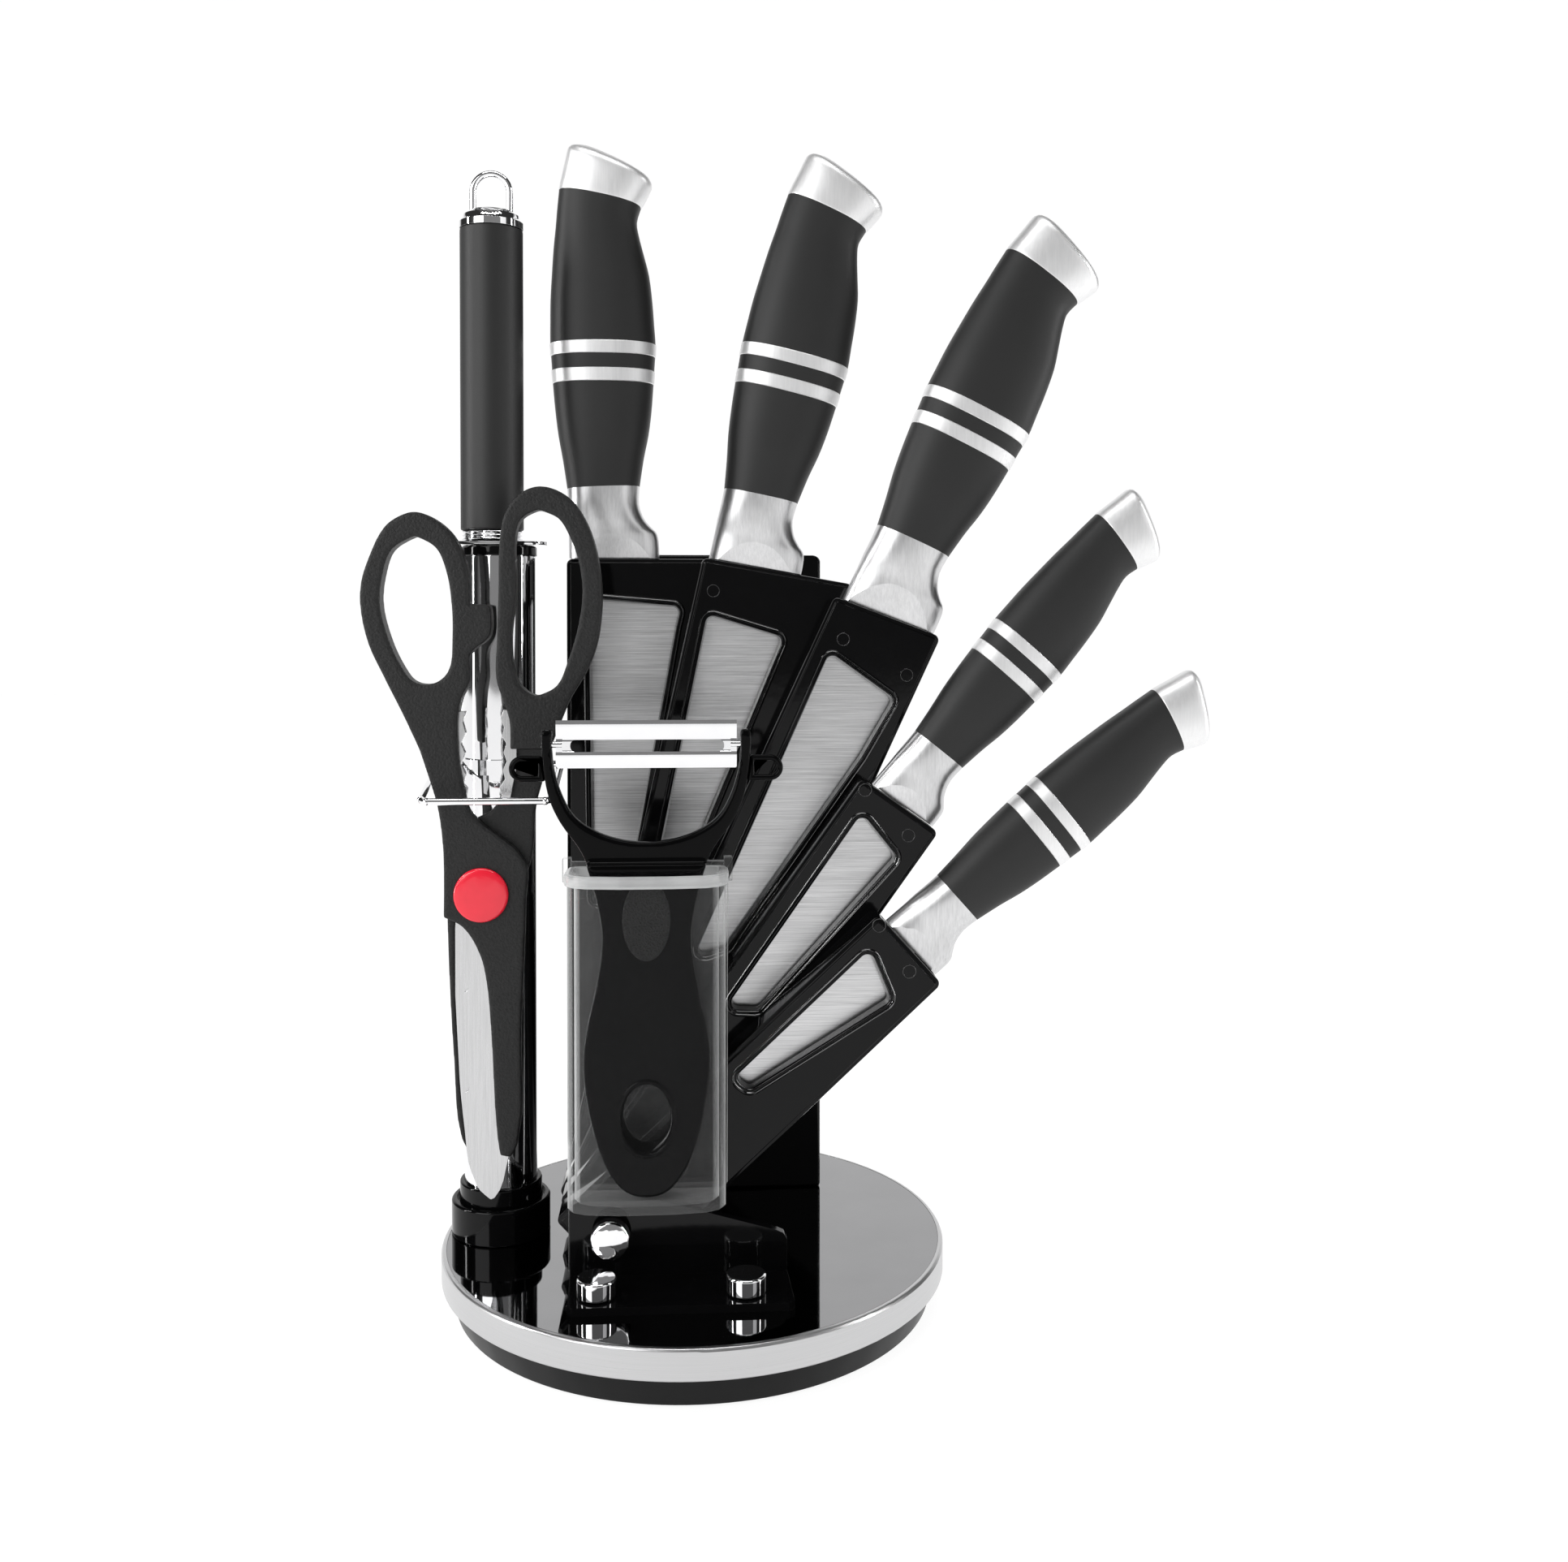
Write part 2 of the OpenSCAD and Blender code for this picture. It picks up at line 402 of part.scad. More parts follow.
module peeler_blade() color([0.85, 0.85, 0.87]) at_peeler() {
    slab(peel_y - 0.6, 1.2) difference() {
        translate([-27.9, 163.6]) square([55.8, 14.9]);
        translate([-23.5, 168.7]) square([47.5, 3.7]);
    }
    for (s = [-1, 1]) translate([s * 30.6, peel_y, peel_a[1] - disc_top]) rotate([0, -s * 90, 0]) cylinder(r = 1, h = 6);
}
module peeler_eyes() color([0.03, 0.03, 0.035]) at_peeler() for (s = [-1, 1]) mirror([s > 0 ? 0 : 1, 0, 0]) slab(peel_y - 1, 2) difference() {
    union() {
        translate([30.5, 159.6]) square([7.8, 8]);
        translate([38.3, 163.6]) circle(r = 4);
    }
    translate([33.4, 161.4]) square([4.9, 4.4]);
    translate([38.3, 163.6]) circle(r = 2.2);
    polygon(fork);
}

/* sharpening steel */
steel_x = tube_x - 2.3;
steel_z = stand_h + 3.8;
module at_steel() translate([steel_x, tube_y, steel_z]) children();
module steel_rod() color([0.7, 0.7, 0.72]) at_steel() translate([0, 0, -200]) rotate_extrude() polygon([
    [0, 0], [rod_d / 2 - 2, 0], [rod_d / 2, 3], [rod_d / 2, 240], [0, 240]]);
module steel_guard() color([0.85, 0.85, 0.87]) at_steel() difference() {
    linear_extrude(1.2) union() {
        for (s = [-1, 1]) translate([s * 11.4, 0]) circle(r = 7.2);
        translate([-11.4, -7.2]) square([22.8, 14.4]);
    }
    translate([0, 0, -1]) cylinder(r = rod_d / 2, h = 4);
}
module steel_ferrule() color([0.85, 0.85, 0.87]) at_steel() rotate_extrude() polygon([
    [rod_d / 2, 1.2], [steel_d / 2 - 1, 1.2], [steel_d / 2 - 0.2, 2], [steel_d / 2 - 1, 2.6], [steel_d / 2 - 0.2, 3.2], [steel_d / 2 - 1, 3.8],
    [steel_d / 2 - 0.2, 4.4], [steel_d / 2 - 1, 5], [rod_d / 2, 5]]);
module steel_handle() color([0.05, 0.05, 0.05]) at_steel() rotate_extrude() polygon([
    [rod_d / 2, 5], [steel_d / 2, 5], [steel_d / 2, 107], [0, 107], [0, 40], [rod_d / 2, 40]]);
module steel_cap() color([0.85, 0.85, 0.87]) at_steel() difference() {
    rotate_extrude() polygon([
        [0, 107], [steel_d / 2 + 0.3, 107], [steel_d / 2 + 0.3, 109.2], [steel_d / 2 - 0.5, 110], [steel_d / 2 - 1, 111.6], [steel_d / 2 - 3, 113], [0, 113.6]]);
    for (s = [-1, 1]) translate([s * 6.2, 0, 112]) cylinder(r = wire_r + bore_gap, h = 8, $fn = 32);
}
module steel_loop() color([0.85, 0.85, 0.87]) at_steel() {
    for (s = [-1, 1]) translate([s * 6.2, 0, 112]) cylinder(r = wire_r, h = 8, $fn = 32);
    translate([0, 0, 120]) rotate([90, 0, 0]) rotate_extrude(angle = 180) translate([6.2, 0]) circle(r = wire_r, $fn = 32);
}

module blade_1() blade(0);
module bolster_1() bolster(0);
module grip_1() grip(0);
module bands_1() bands(0);
module cap_1() cap(0);
module blade_2() blade(1);
module bolster_2() bolster(1);
module grip_2() grip(1);
module bands_2() bands(1);
module cap_2() cap(1);
module blade_3() blade(2);
module bolster_3() bolster(2);
module grip_3() grip(2);
module bands_3() bands(2);
module cap_3() cap(2);
module blade_4() blade(3);
module bolster_4() bolster(3);
module grip_4() grip(3);
module bands_4() bands(3);
module cap_4() cap(3);
module blade_5() blade(4);
module bolster_5() bolster(4);
module grip_5() grip(4);
module bands_5() bands(4);
module cap_5() cap(4);

rubber_pad();
base_shell();
glide_ring();
turntable_plate();
rim_band();
spindle();
column();
sheath_1();
sheath_2();
sheath_3();
sheath_4();
sheath_5();
front_bracket();
flange_screws();
pocket_knob();
pocket();
tube();
tube_collar();
tube_cup();
wire_loop();
blade_1();
bolster_1();
grip_1();
bands_1();
cap_1();
blade_2();
bolster_2();
grip_2();
bands_2();
cap_2();
blade_3();
bolster_3();
grip_3();
bands_3();
cap_3();
blade_4();
bolster_4();
grip_4();
bands_4();
cap_4();
blade_5();
bolster_5();
grip_5();
bands_5();
cap_5();
scissors_front_handle();
scissors_front_blade();
scissors_rear_handle();
scissors_rear_blade();
scissors_button();
peeler_body();
peeler_eyes();
peeler_blade();
steel_rod();
steel_handle();
steel_ferrule();
steel_guard();
steel_cap();
steel_loop();
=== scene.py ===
import math

import bpy
from mathutils import Matrix, Vector


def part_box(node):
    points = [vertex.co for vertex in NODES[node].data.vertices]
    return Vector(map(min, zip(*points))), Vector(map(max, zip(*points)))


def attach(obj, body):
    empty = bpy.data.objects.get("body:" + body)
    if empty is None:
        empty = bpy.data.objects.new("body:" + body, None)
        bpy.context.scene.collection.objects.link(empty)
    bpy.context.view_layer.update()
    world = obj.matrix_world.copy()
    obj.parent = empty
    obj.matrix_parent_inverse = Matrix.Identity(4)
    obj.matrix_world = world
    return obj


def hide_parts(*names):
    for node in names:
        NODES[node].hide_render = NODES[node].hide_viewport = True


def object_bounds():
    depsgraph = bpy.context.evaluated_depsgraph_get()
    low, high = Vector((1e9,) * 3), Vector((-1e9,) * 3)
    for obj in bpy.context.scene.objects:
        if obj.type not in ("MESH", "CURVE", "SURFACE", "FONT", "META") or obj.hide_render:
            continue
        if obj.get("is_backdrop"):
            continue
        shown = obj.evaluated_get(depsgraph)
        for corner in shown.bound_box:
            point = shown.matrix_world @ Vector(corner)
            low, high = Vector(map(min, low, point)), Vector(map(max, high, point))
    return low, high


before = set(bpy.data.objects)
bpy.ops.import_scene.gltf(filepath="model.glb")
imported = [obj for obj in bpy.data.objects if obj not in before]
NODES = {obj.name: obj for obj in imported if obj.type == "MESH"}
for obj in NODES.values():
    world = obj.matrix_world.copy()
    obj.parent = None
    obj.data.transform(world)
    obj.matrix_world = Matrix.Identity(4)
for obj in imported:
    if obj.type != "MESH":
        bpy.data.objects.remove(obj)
cad_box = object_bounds()


# Camera. It stands half a metre in front of the stand, a little above its
# middle, and looks almost level.
cam_data = bpy.data.cameras.new("camera")
cam_data.lens = 33.96
cam_data.sensor_width = 36
cam_data.shift_y = -0.0882
cam_data.clip_start = 0.01
camera = bpy.data.objects.new("camera", cam_data)
camera.location = (-0.0002, -0.5071, 0.2304)
camera.rotation_euler = (math.radians(89.0), 0, math.radians(-3.506))
bpy.context.scene.collection.objects.link(camera)
bpy.context.scene.camera = camera


# Shader wiring, first needed by the floor: a wrapped socket that takes
# Python's own operators, and one method for every other node.
class Wire:
    def __init__(self, tree, out=None):
        self.tree, self.out = tree, out

    def node(self, kind, settings=None, inputs=None, out=0):
        made = self.tree.nodes.new(kind)
        for key, value in (settings or {}).items():
            setattr(made, key, value)
        for key, value in (inputs or {}).items():
            if isinstance(value, Wire):
                self.tree.links.new(value.out, made.inputs[key])
            else:
                made.inputs[key].default_value = value
        return Wire(self.tree, made.outputs[out])

    def maths(self, operation, a, b):
        return self.node("ShaderNodeMath", {"operation": operation}, {0: a, 1: b})

    def __add__(self, other):
        return self.maths("ADD", self, other)

    def __radd__(self, other):
        return self.maths("ADD", other, self)

    def __mul__(self, other):
        return self.maths("MULTIPLY", self, other)

    def __rmul__(self, other):
        return self.maths("MULTIPLY", other, self)

    def colour(self, dark, light):
        ends = {0: self, 6: (*dark, 1), 7: (*light, 1)}
        return self.node("ShaderNodeMix", {"data_type": "RGBA"}, ends, 2)

    def grain(self, scale, turn=(0, 0, 0), detail=3.0, rough=0.5):
        at = self.node("ShaderNodeTexCoord", out=3)
        at = self.node("ShaderNodeMapping", inputs={0: at, 2: turn, 3: scale})
        settings = {"Vector": at, "Scale": 1.0, "Detail": detail, "Roughness": rough}
        return self.node("ShaderNodeTexNoise", inputs=settings)

    def band(self, low, high):
        return self.node("ShaderNodeMapRange", inputs={0: self, 3: low, 4: high})

    def bump(self, strength, distance):
        settings = {"Height": self, "Strength": strength, "Distance": distance}
        return self.node("ShaderNodeBump", inputs=settings)


class Finish:
    """A material: constants go on the shader's own sockets, wires are linked."""

    def __init__(self, name, **constants):
        self.material = bpy.data.materials.new(name)
        self.material.use_nodes = True
        self.tree = self.material.node_tree
        self.shader = self.tree.nodes["Principled BSDF"]
        self.wire = Wire(self.tree)
        self.set(**constants)

    def set(self, **values):
        for key, value in values.items():
            socket = self.shader.inputs[key.replace("_", " ")]
            if isinstance(value, Wire):
                self.tree.links.new(value.out, socket)
            elif isinstance(value, tuple):
                socket.default_value = (*value, 1)
            else:
                socket.default_value = value


# Floor and studio light: a plain pale floor, a large soft box in front at the
# left and a weaker one at the right, narrow strips at both sides and above,
# and a room that is white behind the stand and dark in front of it.
floor_finish = Finish(
    "pale_floor", Roughness=0.8, Emission_Color=(1, 1, 1), Emission_Strength=0.92)
mottle = floor_finish.wire.grain((3, 3, 3)).band(0.91, 0.94)
floor_finish.set(Base_Color=mottle.colour((0.19, 0.19, 0.19), (0.21, 0.21, 0.21)))
bpy.ops.object.select_all(action="DESELECT")
bpy.ops.mesh.primitive_plane_add(size=8)
floor = bpy.context.object
floor.name = "floor"
floor.data.materials.append(floor_finish.material)
floor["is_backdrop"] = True

for name, place, size, power in (
    ("key_box", (-0.85, -1.0, 0.7), (0.8, 0.9), 8),
    ("right_box", (1.0, -0.9, 0.6), (0.5, 0.9), 1.2),
    ("top_box", (0.0, -0.35, 1.4), (1.1, 0.14), 5),
    ("left_strip", (-1.2, -0.15, 0.45), (0.06, 1.2), 8),
    ("right_strip", (1.25, -0.15, 0.45), (0.05, 1.2), 5),
):
    light = bpy.data.lights.new(name, "AREA")
    light.shape = "RECTANGLE"
    light.size, light.size_y = size
    light.energy = power
    lamp = bpy.data.objects.new(name, light)
    lamp.location = place
    from_stand = Vector(place) - Vector((0, 0, 0.2))
    lamp.rotation_euler = from_stand.to_track_quat("Z", "Y").to_euler()
    bpy.context.scene.collection.objects.link(lamp)

world = bpy.data.worlds.new("studio")
bpy.context.scene.world = world
world.use_nodes = True
room = Wire(world.node_tree)
way = room.node("ShaderNodeTexCoord", out=0)
depth = room.node("ShaderNodeSeparateXYZ", inputs={0: way}, out=1)
soft = {"interpolation_type": "SMOOTHSTEP"}
glow = depth.node("ShaderNodeMapRange", soft, {0: depth, 1: 0.5, 2: 0.8, 3: 0.0, 4: 0.98})
fill = depth.node("ShaderNodeMapRange", soft, {0: depth, 1: -0.8, 2: -0.3, 3: 0.22, 4: 0.03})
glow = glow + fill
backdrop = world.node_tree.nodes["Background"]
world.node_tree.links.new(glow.out, backdrop.inputs["Color"])
backdrop.inputs["Strength"].default_value = 1.0
bpy.context.scene.view_settings.view_transform = "Standard"


def deselect():
    if bpy.context.object and bpy.context.object.mode != "OBJECT":
        bpy.ops.object.mode_set(mode="OBJECT")
    bpy.ops.object.select_all(action="DESELECT")


def activate(piece):
    deselect()
    piece.select_set(True)
    bpy.context.view_layer.objects.active = piece


def welded(node, name, flat=2.0):
    """A copy of a node's own surface, its triangles merged and joined to whole faces."""
    piece = NODES[node].copy()
    piece.data = NODES[node].data.copy()
    for key in list(piece.keys()):
        del piece[key]
    piece.parent = None
    piece.matrix_world = Matrix.Identity(4)
    piece.name = piece.data.name = name
    bpy.context.scene.collection.objects.link(piece)
    piece.hide_render = piece.hide_viewport = False
    piece.hide_set(False)
    activate(piece)
    if piece.data.has_custom_normals:
        bpy.ops.mesh.customdata_custom_splitnormals_clear()
    bpy.ops.object.mode_set(mode="EDIT")
    bpy.ops.mesh.select_all(action="SELECT")
    bpy.ops.mesh.remove_doubles(threshold=0.000004)
    bpy.ops.mesh.normals_make_consistent(inside=False)
    if flat:
        bpy.ops.mesh.dissolve_limited(angle_limit=math.radians(flat))
    bpy.ops.object.mode_set(mode="OBJECT")
    return piece


def broken_edges(piece, width, segments=2):
    """Sharp edges are broken, as a file or a mould's radius leaves them."""
    activate(piece)
    edge = piece.modifiers.new("edge", "BEVEL")
    edge.width = width
    edge.segments = segments
    edge.limit_method = "ANGLE"
    edge.angle_limit = math.radians(30)
    edge.use_clamp_overlap = True
    bpy.ops.object.modifier_apply(modifier="edge")


def smooth(piece, angle=35):
    """Faces that meet at less than the angle shade as one, and large flat faces stay flat."""
    activate(piece)
    bpy.ops.object.shade_smooth_by_angle(angle=math.radians(angle), keep_sharp_edges=True)
    faired = piece.modifiers.new("faired", "WEIGHTED_NORMAL")
    faired.mode = "FACE_AREA"
    faired.weight = 50
    faired.keep_sharp = True
    bpy.ops.object.modifier_apply(modifier="faired")


def fitted(piece, body, slot, finish, *nodes):
    """The piece gets its finish, goes on its body and stands in for the nodes it shows."""
    piece.data.materials.clear()
    piece.data.materials.append(finish.material)
    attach(piece, body)
    if nodes:
        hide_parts(*nodes)


def trimmed(node, body, slot, finish, width=0.0004, segments=2, flat=2.0):
    """A node's own shape, welded and with its edges broken."""
    piece = welded(node, node + "_piece", flat)
    if width:
        broken_edges(piece, width, segments)
    smooth(piece)
    fitted(piece, body, slot, finish, node)
    return piece


satin_black = Finish("satin_black", Specular_IOR_Level=0.15)
grime = satin_black.wire.grain((90, 90, 90), detail=5)
satin_black.set(
    Base_Color=grime.colour((0.002, 0.002, 0.0022), (0.004, 0.004, 0.0042)),
    Roughness=grime.band(0.26, 0.42),
    Normal=satin_black.wire.grain((1900, 1900, 1900)).bump(0.15, 0.0001))
trimmed("base_shell", "base", "satin_black", satin_black, 0.0006)

rubber = Finish("rubber")
crumb = rubber.wire.grain((700, 700, 700), detail=4)
rubber.set(
    Base_Color=crumb.colour((0.012, 0.012, 0.012), (0.03, 0.03, 0.03)),
    Roughness=crumb.band(0.7, 0.95),
    Normal=crumb.bump(0.4, 0.0002))
trimmed("rubber_pad", "base", "rubber", rubber, 0.0003)

slider_white = Finish("slider_white")
wear = slider_white.wire.grain((200, 200, 200))
slider_white.set(
    Base_Color=wear.colour((0.7, 0.7, 0.67), (0.82, 0.82, 0.8)),
    Roughness=wear.band(0.3, 0.55))
trimmed("glide_ring", "base", "white_slider", slider_white, 0.0003)


# Turntable: a dark mirror disc, polished all over, pressed into a satin
# aluminium band and standing on a turned steel spindle.
dark_mirror = Finish("dark_mirror", Metallic=1.0)
haze = dark_mirror.wire.grain((60, 60, 60), detail=6)
dark_mirror.set(
    Base_Color=haze.colour((0.27, 0.27, 0.275), (0.31, 0.31, 0.315)),
    Roughness=haze.band(0.015, 0.05),
    Normal=dark_mirror.wire.grain((45, 45, 45)).bump(0.03, 0.0005))
trimmed("turntable_plate", "turntable", "dark_mirror", dark_mirror, 0.0003)

satin_band = Finish("satin_band", Metallic=1.0)
lines = satin_band.wire.grain((14, 14, 5200), detail=4, rough=0.7)
satin_band.set(
    Base_Color=lines.colour((0.50, 0.50, 0.505), (0.64, 0.64, 0.645)),
    Roughness=lines.band(0.22, 0.38),
    Normal=lines.bump(0.12, 0.0001))
trimmed("rim_band", "turntable", "satin_band", satin_band, 0)

turned_steel = Finish("turned_steel", Metallic=1.0)
turning = turned_steel.wire.grain((40, 40, 6000))
turned_steel.set(
    Base_Color=turning.colour((0.45, 0.45, 0.46), (0.62, 0.62, 0.63)),
    Roughness=turning.band(0.2, 0.4))
trimmed("spindle", "turntable", "spindle_steel", turned_steel, 0.0004)


# Column, sheaths and bracket: injection-moulded gloss black plastic. Each
# sheath is a flat case with a stepped edge, open at the mouth, with a window
# in its front wall that has a raised bead and sloping sides.
gloss_black = Finish("gloss_black", Specular_IOR_Level=0.2)
skin = gloss_black.wire.grain((160, 160, 160), detail=2)
gloss_black.set(
    Base_Color=skin.colour((0.0016, 0.0016, 0.0018), (0.003, 0.003, 0.0033)),
    Roughness=gloss_black.wire.grain((900, 900, 900), detail=4).band(0.05, 0.11),
    Normal=skin.bump(0.05, 0.0004))
trimmed("column", "turntable", "gloss_black", gloss_black, 0.0012, 3)
trimmed("front_bracket", "turntable", "gloss_black", gloss_black, 0.0005, 3)

bead_black = Finish("bead_black", Specular_IOR_Level=0.9)
polish = bead_black.wire.grain((500, 500, 500), detail=3)
bead_black.set(
    Base_Color=polish.colour((0.0016, 0.0016, 0.0018), (0.003, 0.003, 0.0033)),
    Roughness=polish.band(0.10, 0.18))

# The shapes that follow are drawn in millimetres.
MM = 0.001
FAN = (-44.5, 38)  # where the left edges of sheaths 2 to 5 meet
FIRST_MOUTH = (-45, 251)  # the upright first sheath stands beside that point
# lean, length of the left edge, width, rise of the mouth's right end, foot
# and depth of the cavity at its right and left
CASE = {
    1: (0, 231, 50, 0, 1, (-188, -200)),
    2: (12.57, 218.2, 53.4, 2.4, 8, (-175, -194)),
    3: (24.77, 219.6, 39, 2.8, 3, (-175, -176)),
    4: (35.7, 171.2, 31.5, 0.2, 0, (-128, -126)),
    5: (47.1, 141.7, 30.7, -0.4, 0, (-98, -96))}
# corners of the windows, each from its sheath's mouth at the left
WINDOW = {
    1: [(8, -14.3), (40.3, -17), (38.6, -24), (21, -121), (9, -123)],
    2: [(6, -18.9), (33.4, -21), (18, -108), (8, -128)],
    3: [(6.6, -18), (33.4, -23.2), (31.1, -46), (16.6, -124), (8, -132)],
    4: [(6.8, -9.5), (24.8, -14.6), (16.8, -82), (7.6, -88)],
    5: [(6.2, -9.6), (22.9, -15.9), (12.4, -68.4), (6.4, -69.5)]}
# middles of the round marks that the mould's ejector pins leave
MARKS = {
    1: [], 2: [(6.7, 239.4)], 3: [(50.5, 222.8), (72.2, 210.6)], 4: [(56.4, 173.2), (70.8, 158)],
    5: [(59.3, 131.2), (69.1, 116.2)]}


def rounded(corners, radius, grow=0.0, steps=6):
    """The outline of a plate with rounded corners, grown or shrunk all round."""
    area = sum(a[0] * b[1] - b[0] * a[1] for a, b in zip(corners, corners[1:] + corners[:1]))
    corners = [Vector(c) for c in (corners if area > 0 else corners[::-1])]
    outline = []
    for k, here in enumerate(corners):
        back, on = corners[k - 1] - here, corners[(k + 1) % len(corners)] - here
        half = back.angle(on) / 2
        r = min(radius, 0.45 * math.tan(half) * min(back.length, on.length))
        back.normalize()
        on.normalize()
        side = 1 if on.x * back.y - on.y * back.x > 0 else -1
        middle = here + (back + on).normalized() * r / math.sin(half)
        start = math.atan2(side * back.x, -side * back.y)
        for j in range(steps + 1):
            turn = start + side * (math.pi - 2 * half) * j / steps
            outline.append(middle + Vector((math.cos(turn), math.sin(turn))) * (r + side * grow))
    return outline


def ring_up(name, rings, capped=True):
    """A form drawn up ring by ring: an extrusion that is shaped at every step."""
    deselect()
    fill = "NGON" if capped else "NOTHING"
    bpy.ops.mesh.primitive_circle_add(vertices=len(rings[0]), radius=1, fill_type=fill)
    piece = bpy.context.object
    piece.name = piece.data.name = name
    for vertex, place in zip(piece.data.vertices, rings[0]):
        vertex.co = place
    for below, ring in zip(rings, rings[1:]):
        bpy.ops.object.mode_set(mode="EDIT")
        if capped:
            bpy.ops.mesh.extrude_region_move()
        else:
            bpy.ops.mesh.extrude_edges_move()
        bpy.ops.object.mode_set(mode="OBJECT")
        places = {Vector(p).to_tuple(6): k for k, p in enumerate(below)}
        for vertex in piece.data.vertices:
            if vertex.select:
                vertex.co = ring[places[vertex.co.to_tuple(6)]]
    bpy.ops.object.mode_set(mode="EDIT")
    bpy.ops.mesh.select_all(action="SELECT")
    if not capped:
        bpy.ops.mesh.select_all(action="DESELECT")
        bpy.ops.mesh.select_non_manifold()
        bpy.ops.mesh.bridge_edge_loops()
        bpy.ops.mesh.select_all(action="SELECT")
    bpy.ops.mesh.normals_make_consistent(inside=False)
    bpy.ops.object.mode_set(mode="OBJECT")
    return piece


def cut_by(piece, cutter):
    activate(piece)
    cut = piece.modifiers.new("cut", "BOOLEAN")
    cut.operation = "DIFFERENCE"
    cut.solver = "EXACT"
    cut.object = cutter
    bpy.ops.object.modifier_apply(modifier="cut")
    bpy.data.objects.remove(cutter)


def joined(pieces):
    activate(pieces[0])
    for piece in pieces[1:]:
        piece.select_set(True)
    bpy.ops.object.join()
    return pieces[0]


mouths = {}
for k, (lean, length, wide, rise, foot, deep) in CASE.items():
    tilt = math.radians(lean)
    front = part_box(f"sheath_{k}")[0].y / MM
    mouth = (FAN[0] + length * math.sin(tilt), FAN[1] + length * math.cos(tilt))
    if k == 1:
        mouth = FIRST_MOUTH

    def set_out(outline, y):
        return [
            Vector((mouth[0] + p[0] * math.cos(tilt) + p[1] * math.sin(tilt), front + y,
                    mouth[1] - p[0] * math.sin(tilt) + p[1] * math.cos(tilt))) * MM
            for p in outline]

    mouths[k] = Vector((mouth[0], 0, mouth[1])) * MM
    outer = [(0, 0), (wide, rise), (wide, -length - foot), (0, -length - foot)]
    # growth of the outline and depth behind the front, from back to front
    steps = (
        (-0.5, 14), (-0.15, 13.85), (0, 13.5), (0, 1.5), (-0.15, 1.15), (-0.5, 1.0), (-1.1, 1.0),
        (-1.3, 0.85), (-1.45, 0.2), (-1.7, 0))
    case = ring_up(f"sheath_{k}_case", [set_out(rounded(outer, 2.2, grow), y) for grow, y in steps])
    disc_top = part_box("turntable_plate")[1].z
    bpy.ops.object.mode_set(mode="EDIT")
    bpy.ops.mesh.select_all(action="SELECT")
    bpy.ops.mesh.bisect(plane_co=(0, 0, disc_top), plane_no=(0, 0, 1), use_fill=True, clear_inner=True)
    bpy.ops.object.mode_set(mode="OBJECT")
    cavity = [(2.2, 6), (wide - 2.2, 6), (wide - 2.2, deep[0]), (8.2, deep[1]), (2.2, deep[1])]
    cut_by(case, ring_up("cavity", [set_out(rounded(cavity, 1.0), y) for y in (3.6, 10.4)]))
    cut_by(case, ring_up("window", [set_out(rounded(WINDOW[k], 2.4, 0.8), y) for y in (-2, 5)]))
    smooth(case, 40)
    fitted(case, "turntable", "gloss_black", gloss_black, f"sheath_{k}")

    steps = (
        (2.3, 0.1), (2.1, -0.35), (1.7, -0.6), (1.3, -0.35), (1.05, 0.15), (0.85, 0.3), (0.6, 0.1),
        (0.3, 0.3), (0.1, 0.8), (-0.35, 3.9), (0.5, 3.9), (1.7, 1.0))
    rings = [set_out(rounded(WINDOW[k], 2.4, grow, 8), y) for grow, y in steps]
    rims = [ring_up(f"sheath_{k}_bead", rings, capped=False)]
    for x, z in MARKS[k]:
        deselect()
        bpy.ops.mesh.primitive_torus_add(
            location=(x * MM, front * MM, z * MM), rotation=(math.pi / 2, 0, 0),
            major_segments=40, minor_segments=8, major_radius=2.1 * MM, minor_radius=0.16 * MM)
        bpy.ops.object.transform_apply(location=True, rotation=True, scale=True)
        rims.append(bpy.context.object)
    bead = joined(rims)
    smooth(bead, 50)
    fitted(bead, "turntable", "gloss_black", bead_black)


# Chrome pieces: thumb screws, face knob, tube, wire loop and the metal trim
# of the sharpening steel, all turned or bent from steel and plated. The tube
# stands in a gloss black cup, under a gloss black collar.
chrome = Finish("chrome", Metallic=1.0)
smudge = chrome.wire.grain((120, 120, 120), detail=4)
chrome.set(
    Base_Color=smudge.colour((0.86, 0.86, 0.87), (0.93, 0.93, 0.94)),
    Roughness=smudge.band(0.02, 0.08))
for node, body in (
    ("flange_screws", "turntable"), ("pocket_knob", "turntable"), ("tube", "turntable"),
    ("steel_ferrule", "steel"), ("steel_guard", "steel"), ("steel_cap", "steel"),
):
    trimmed(node, body, "chrome", chrome, 0.00025)
trimmed("wire_loop", "turntable", "chrome", chrome, 0, flat=0)
trimmed("steel_loop", "steel", "chrome", chrome, 0, flat=0)
trimmed("tube_cup", "turntable", "gloss_black", gloss_black, 0.0003)
trimmed("tube_collar", "turntable", "gloss_black", gloss_black, 0.0003)


# Clear pocket: a moulded styrene cup, colourless, on a back plate that is
# hooked over the sheath. The cup is seen through; at its lip and its corners
# the pale plastic is made more opaque, as painted reflections, and the plate behind it looks smoky.
def clear_finish(name, through, painted_edge_sheen):
    """Clear plastic that hides the given share face on, and more where it is seen edge on: its pale
    colour, made more opaque at grazing angles, is a painted reflection.
    """
    finish = Finish(name, IOR=1.5)
    film = finish.wire.grain((80, 80, 80))
    facing = finish.wire.node("ShaderNodeLayerWeight", inputs={"Blend": 0.5}, out=1)
    finish.set(
        Base_Color=film.colour((0.80, 0.81, 0.81), (0.88, 0.89, 0.89)),
        Roughness=film.band(0.02, 0.05),
        # the edge-on term paints the reflection that clear plastic shows along its edges and corners
        Alpha=(facing * facing * facing * facing * painted_edge_sheen
               + film.band(through * 0.8, through * 1.2)))
    return finish
